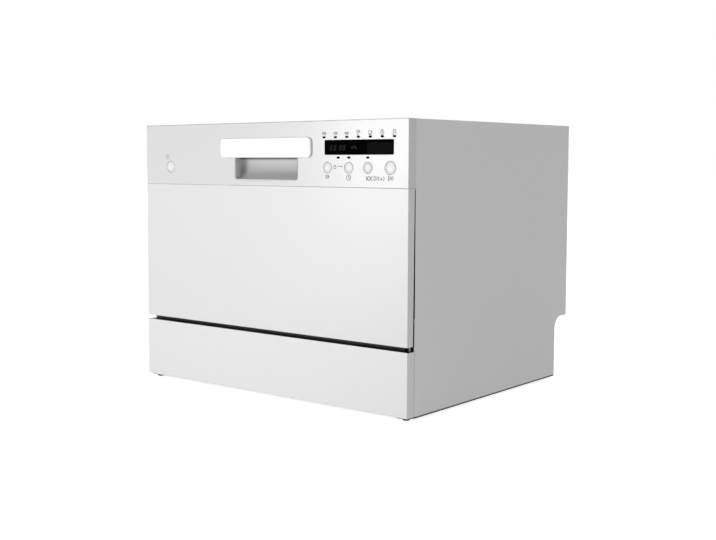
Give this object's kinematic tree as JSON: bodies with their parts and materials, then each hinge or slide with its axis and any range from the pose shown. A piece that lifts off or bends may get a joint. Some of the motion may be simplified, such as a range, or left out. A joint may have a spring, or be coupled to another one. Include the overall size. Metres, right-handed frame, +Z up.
{
  "type": "countertop dishwasher",
  "caption": "White countertop dishwasher: drop-down front with pull handle, display and push buttons, rack on wheels, spray arm and lower rear hose notch.",
  "frame": {"origin": "centre of the footprint, on the surface that the feet stand on", "axes": "+X to the right seen from the front, -Y out of the front, +Z up"},
  "size_m": [0.55, 0.493, 0.438],
  "materials": {
    "front_white": "smooth white enamel",
    "panel_white": "satin white",
    "casing_white": "satin white powder coat",
    "galvanised": "galvanised, dull",
    "stainless": "brushed",
    "steel_bright": "plated",
    "tray_black": "moulded",
    "rubber_black": "matt",
    "plastic_grey": "moulded",
    "cup_grey": "satin",
    "plastic_dark": "moulded",
    "plastic_light": "moulded",
    "window_black": "glossy",
    "board_green": "lacquered board",
    "cap_blue": "moulded",
    "rack_coated": "coated wire"
  },
  "bodies": {
    "cabinet": {"outer_casing": "casing_white", "rear_panel": "galvanised", "notch_hood": "galvanised", "connector_plate": "galvanised", "base_tray": "tray_black", "toe_panel": "front_white", "feet": "rubber_black", "tub": "stainless", "tub_floor": "stainless", "tub_frame": "stainless", "tub_seal": "rubber_black", "rack_rails": "plastic_light", "latch_strike": "steel_bright", "hinge_brackets": "galvanised", "sump": "plastic_dark", "spray_arm_hub": "plastic_dark", "heater": "steel_bright", "pumps": "plastic_dark", "hoses": "plastic_dark", "drain_outlet": "plastic_dark", "inlet_valve": "plastic_light", "air_breather": "plastic_light", "water_softener": "plastic_light", "cord_gland": "tray_black", "casing_screws": "steel_bright", "hinge_springs": "steel_bright"},
    "door": {"door_outer_panel": "front_white", "control_panel": "panel_white", "door_liner": "stainless", "door_bottom_seal": "rubber_black", "hinge_arms": "galvanised", "door_screws": "steel_bright", "handle_cup": "cup_grey", "panel_lenses": "window_black", "display_board": "board_green", "door_lock": "plastic_dark", "dispenser_body": "plastic_light"},
    "handle": {"handle": "panel_white"},
    "latch_hook": {"latch_hook": "steel_bright"},
    "button_power": {"button_power": "panel_white"},
    "button_program": {"button_program": "panel_white"},
    "button_delay": {"button_delay": "panel_white"},
    "button_options": {"button_options": "panel_white"},
    "button_start": {"button_start": "panel_white"},
    "detergent_lid": {"detergent_lid": "plastic_light"},
    "rinse_aid_cap": {"rinse_aid_cap": "cap_blue"},
    "rack": {"rack_floor": "rack_coated", "rack_ends": "rack_coated", "rack_sides": "rack_coated", "plate_tines": "rack_coated", "rack_fittings": "plastic_grey"},
    "rack_wheels_front": {"rack_wheels_front": "plastic_grey"},
    "rack_wheels_rear": {"rack_wheels_rear": "plastic_grey"},
    "cup_shelf": {"cup_shelf": "plastic_grey"},
    "cutlery_basket": {"cutlery_basket": "plastic_grey", "basket_handle": "plastic_grey"},
    "spray_arm": {"spray_arm": "plastic_grey"},
    "filter_cylinder": {"filter_cylinder": "plastic_dark"},
    "salt_cap": {"salt_cap": "plastic_light"},
    "overflow_float": {"overflow_float": "plastic_light"}
  },
  "joints": [
    {"name": "door_hinge", "type": "hinge", "parent": "cabinet", "child": "door", "pos_m": [0, -0.2315, 0.1164], "axis": [1, 0, 0], "range_deg": [0, 90], "deforming": ["hinge_springs"]},
    {"name": "handle_pull", "type": "hinge", "parent": "door", "child": "handle", "pos_m": [0.002, -0.2335, 0.4114], "axis": [-1, 0, 0], "range_deg": [0, 10], "stiffness_Nm_per_rad": 0.8, "springref_deg": -17.19},
    {"name": "latch_turn", "type": "hinge", "parent": "door", "child": "latch_hook", "pos_m": [0.002, -0.2275, 0.4225], "axis": [-1, 0, 0], "range_deg": [0, 12.1]},
    {"name": "press_power", "type": "slide", "parent": "door", "child": "button_power", "axis": [0, 1, 0], "range_m": [0, 0.0012], "stiffness_N_per_m": 300, "springref_m": -0.002},
    {"name": "press_program", "type": "slide", "parent": "door", "child": "button_program", "axis": [0, 1, 0], "range_m": [0, 0.0012], "stiffness_N_per_m": 300, "springref_m": -0.002},
    {"name": "press_delay", "type": "slide", "parent": "door", "child": "button_delay", "axis": [0, 1, 0], "range_m": [0, 0.0012], "stiffness_N_per_m": 300, "springref_m": -0.002},
    {"name": "press_options", "type": "slide", "parent": "door", "child": "button_options", "axis": [0, 1, 0], "range_m": [0, 0.0012], "stiffness_N_per_m": 300, "springref_m": -0.002},
    {"name": "press_start", "type": "slide", "parent": "door", "child": "button_start", "axis": [0, 1, 0], "range_m": [0, 0.0012], "stiffness_N_per_m": 300, "springref_m": -0.002},
    {"name": "detergent_lid_flip", "type": "hinge", "parent": "door", "child": "detergent_lid", "pos_m": [-0.015, -0.19, 0.308], "axis": [-1, 0, 0], "range_deg": [0, 95]},
    {"name": "rinse_cap_turn", "type": "hinge", "parent": "door", "child": "rinse_aid_cap", "pos_m": [0.072, -0.1915, 0.344], "axis": [0, 1, 0], "range_deg": [0, 90]},
    {"name": "rack_slide", "type": "slide", "parent": "cabinet", "child": "rack", "axis": [0, -1, 0], "range_m": [0, 0.15]},
    {"name": "front_wheels_spin", "type": "hinge", "parent": "rack", "child": "rack_wheels_front", "pos_m": [0, -0.0955, 0.1664], "axis": [1, 0, 0], "continuous": true},
    {"name": "rear_wheels_spin", "type": "hinge", "parent": "rack", "child": "rack_wheels_rear", "pos_m": [0, 0.1085, 0.1664], "axis": [1, 0, 0], "continuous": true},
    {"name": "cup_shelf_fold", "type": "hinge", "parent": "rack", "child": "cup_shelf", "pos_m": [0.21, -0.0085, 0.25], "axis": [0, 1, 0], "range_deg": [0, 80]},
    {"name": "cutlery_basket_lift", "type": "slide", "parent": "rack", "child": "cutlery_basket", "axis": [0, 0, 1], "range_m": [0, 0.09]},
    {"name": "spray_arm_spin", "type": "hinge", "parent": "cabinet", "child": "spray_arm", "pos_m": [0, -0.0065, 0.1455], "axis": [0, 0, 1], "continuous": true},
    {"name": "filter_turn", "type": "hinge", "parent": "cabinet", "child": "filter_cylinder", "pos_m": [0.07, -0.1115, 0.12], "axis": [0, 0, 1], "range_deg": [0, 60]},
    {"name": "salt_cap_turn", "type": "hinge", "parent": "cabinet", "child": "salt_cap", "pos_m": [-0.105, -0.1265, 0.127], "axis": [0, 0, 1], "range_deg": [0, 90]},
    {"name": "float_rise", "type": "slide", "parent": "cabinet", "child": "overflow_float", "axis": [0, 0, 1], "range_m": [0, 0.006]}
  ],
  "couplings": [
    {"joint": "latch_turn", "follows": "handle_pull", "ratio": 1.2},
    {"joint": "rack_slide", "follows": "door_hinge", "m_per_rad": 0.095492},
    {"joint": "front_wheels_spin", "follows": "door_hinge", "ratio": 8.6812},
    {"joint": "rear_wheels_spin", "follows": "door_hinge", "ratio": 8.6812}
  ]
}
